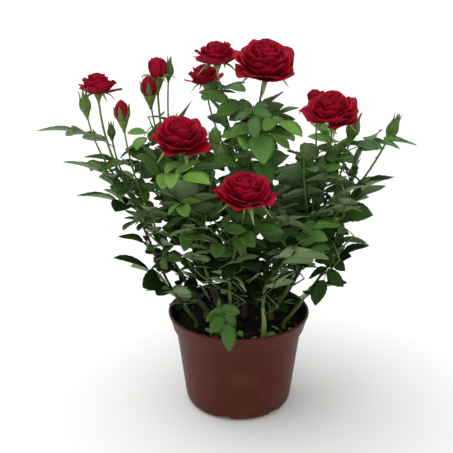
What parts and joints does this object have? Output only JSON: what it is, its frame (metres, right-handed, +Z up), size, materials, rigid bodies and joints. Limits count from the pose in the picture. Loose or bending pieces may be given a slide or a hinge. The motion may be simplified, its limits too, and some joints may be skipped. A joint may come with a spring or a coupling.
{
  "type": "potted rose bush",
  "caption": "Miniature rose bush with red double blooms and pointed buds, growing in a round tapered nursery pot of red-brown plastic.",
  "frame": {"origin": "middle of the pot's flat underside, on the surface that the pot stands on", "axes": "+Z up, -Y towards the viewer of the picture, +X to the viewer's right"},
  "size_m": [0.3052, 0.2474, 0.3115],
  "materials": {
    "terracotta_plastic": "satin",
    "potting_soil": "rough",
    "green_bark": "satin",
    "rose_foliage": "satin"
  },
  "bodies": {
    "root": {"cane_back": "green_bark", "cane_back_left": "green_bark", "cane_back_right": "green_bark", "cane_centre": "green_bark", "cane_far_right": "green_bark", "cane_front": "green_bark", "cane_front_right": "green_bark", "cane_left": "green_bark", "cane_left_back": "green_bark", "cane_left_front": "green_bark", "cane_low_front": "green_bark", "cane_low_left": "green_bark", "cane_low_right": "green_bark", "cane_right": "green_bark", "foliage_back": "rose_foliage", "foliage_back_left": "rose_foliage", "foliage_back_right": "rose_foliage", "foliage_far_right": "rose_foliage", "foliage_front": "rose_foliage", "foliage_front_right": "rose_foliage", "foliage_left": "rose_foliage", "foliage_left_back": "rose_foliage", "foliage_left_front": "rose_foliage", "foliage_low_front": "rose_foliage", "foliage_low_left": "rose_foliage", "foliage_low_right": "rose_foliage", "foliage_right": "rose_foliage", "foliage_top": "rose_foliage", "pot": "terracotta_plastic", "soil": "potting_soil"}
  },
  "joints": []
}
